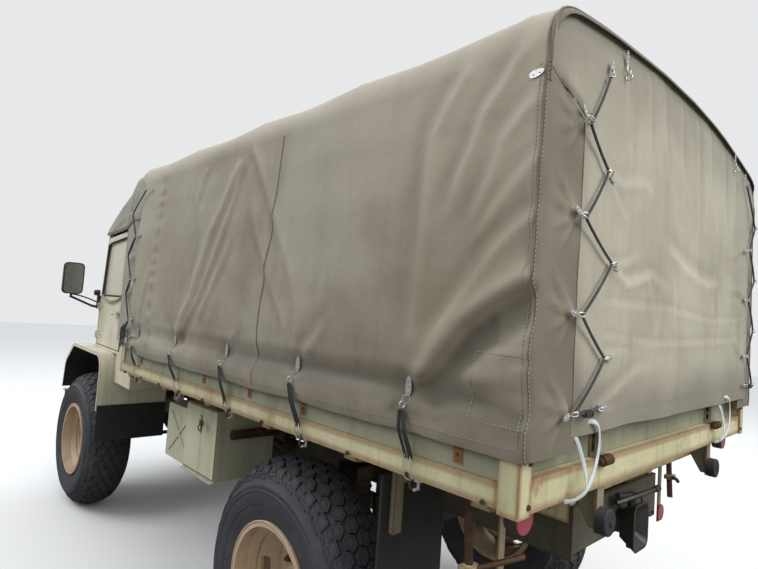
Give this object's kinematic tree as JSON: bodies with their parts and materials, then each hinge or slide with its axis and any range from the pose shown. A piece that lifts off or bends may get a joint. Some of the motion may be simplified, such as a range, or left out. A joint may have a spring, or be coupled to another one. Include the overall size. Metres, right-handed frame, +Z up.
{
  "type": "military cargo truck",
  "caption": "Light off-road cargo truck with portal axles, soft-top cab with steel doors and a drop-side bed under a laced canvas cover.",
  "frame": {"origin": "bottom centre of the bounding box, on the ground under the middle of the truck", "axes": "+Z up, the truck faces -Y, +X is its left side"},
  "size_m": [2.248, 4.957, 2.5799],
  "materials": {
    "body_paint": "satin",
    "frame_paint": "satin",
    "canvas": "matte",
    "wheel_paint": "satin",
    "tyre": "matte",
    "rubber": "matte",
    "glass": "gloss",
    "cast": "matte",
    "steel": "satin",
    "dark_paint": "satin",
    "seat_cloth": "matte",
    "plank": "matte",
    "lamp": "gloss",
    "black_plastic": "matte"
  },
  "bodies": {
    "chassis": {"battery_box": "body_paint", "bed_floor": "plank", "bed_frame": "body_paint", "bonnet_sides": "body_paint", "cab_soft_top": "canvas", "cab_tub": "body_paint", "canvas_bows": "frame_paint", "cargo_canvas": "canvas", "coil_springs": "frame_paint", "dampers": "frame_paint", "dashboard": "body_paint", "engine_and_gearbox": "cast", "exhaust": "steel", "fender_left": "body_paint", "fender_right": "body_paint", "frame": "frame_paint", "front_axle": "frame_paint", "front_bumper": "body_paint", "fuel_tank": "body_paint", "grille_panel": "body_paint", "headlamp_glass": "glass", "headlamps": "body_paint", "mirrors": "dark_paint", "mud_flaps": "rubber", "rear_axle": "frame_paint", "rear_brackets": "frame_paint", "rear_buffers": "rubber", "rear_lamps": "lamp", "seat_frames": "frame_paint", "seat_pads": "seat_cloth", "side_boards": "body_paint", "side_lights": "black_plastic", "steering_column": "dark_paint", "strap_hooks": "steel", "tailgate": "body_paint", "tool_box": "body_paint", "tow_coupling": "cast", "windscreen_frame": "body_paint", "windscreen_glass": "glass"},
    "wheel_front_left": {"rim_front_left": "wheel_paint", "tyre_front_left": "tyre"},
    "wheel_front_right": {"rim_front_right": "wheel_paint", "tyre_front_right": "tyre"},
    "wheel_rear_left": {"rim_rear_left": "wheel_paint", "tyre_rear_left": "tyre"},
    "wheel_rear_right": {"rim_rear_right": "wheel_paint", "tyre_rear_right": "tyre"},
    "steering_knuckle_left": {"knuckle_left": "frame_paint"},
    "steering_knuckle_right": {"knuckle_right": "frame_paint"},
    "track_rod": {"tie_rod": "frame_paint"},
    "driver_wheel": {"steering_wheel": "black_plastic"},
    "left_door": {"door_left": "body_paint", "door_glass_left": "glass"},
    "right_door": {"door_right": "body_paint", "door_glass_right": "glass"},
    "bonnet_lid": {"bonnet": "body_paint"},
    "box_door": {"tool_box_door": "body_paint"}
  },
  "joints": [
    {"name": "steer_left", "type": "hinge", "parent": "chassis", "child": "steering_knuckle_left", "pos_m": [0.6, -1.6335, 0.62], "axis": [0, 0, 1], "range_deg": [-28, 28]},
    {"name": "steer_right", "type": "hinge", "parent": "chassis", "child": "steering_knuckle_right", "pos_m": [-0.6, -1.6335, 0.62], "axis": [0, 0, 1], "range_deg": [-28, 28]},
    {"name": "track_rod_pivot", "type": "hinge", "parent": "steering_knuckle_left", "child": "track_rod", "pos_m": [0.6, -1.4335, 0.54], "axis": [0, 0, 1], "range_deg": [-28, 28]},
    {"name": "steering_wheel_turn", "type": "hinge", "parent": "chassis", "child": "driver_wheel", "pos_m": [0.36, -1.2035, 1.64], "axis": [0, 0.5655, 0.8247], "range_deg": [-504, 504]},
    {"name": "door_left_hinge", "type": "hinge", "parent": "chassis", "child": "left_door", "pos_m": [0.8583, -1.5845, 1.6], "axis": [0, 0, -1], "range_deg": [0, 70]},
    {"name": "door_right_hinge", "type": "hinge", "parent": "chassis", "child": "right_door", "pos_m": [-0.8583, -1.5845, 1.6], "axis": [0, 0, 1], "range_deg": [0, 70]},
    {"name": "bonnet_hinge", "type": "hinge", "parent": "chassis", "child": "bonnet_lid", "pos_m": [0, -1.6235, 1.612], "axis": [-1, 0, 0], "range_deg": [0, 55]},
    {"name": "tool_box_hinge", "type": "hinge", "parent": "chassis", "child": "box_door", "pos_m": [0.9023, 0.4995, 0.792], "axis": [0, 1, 0], "range_deg": [0, 90]},
    {"name": "wheel_front_left_spin", "type": "hinge", "parent": "steering_knuckle_left", "child": "wheel_front_left", "pos_m": [0.795, -1.6335, 0.515], "axis": [1, 0, 0], "continuous": true},
    {"name": "wheel_front_right_spin", "type": "hinge", "parent": "steering_knuckle_right", "child": "wheel_front_right", "pos_m": [-0.795, -1.6335, 0.515], "axis": [1, 0, 0], "continuous": true},
    {"name": "wheel_rear_left_spin", "type": "hinge", "parent": "chassis", "child": "wheel_rear_left", "pos_m": [0.795, 1.2665, 0.515], "axis": [1, 0, 0], "continuous": true},
    {"name": "wheel_rear_right_spin", "type": "hinge", "parent": "chassis", "child": "wheel_rear_right", "pos_m": [-0.795, 1.2665, 0.515], "axis": [1, 0, 0], "continuous": true}
  ],
  "couplings": [
    {"joint": "steer_right", "follows": "steer_left", "ratio": 1},
    {"joint": "track_rod_pivot", "follows": "steer_left", "ratio": -1},
    {"joint": "steering_wheel_turn", "follows": "steer_left", "ratio": 18}
  ]
}
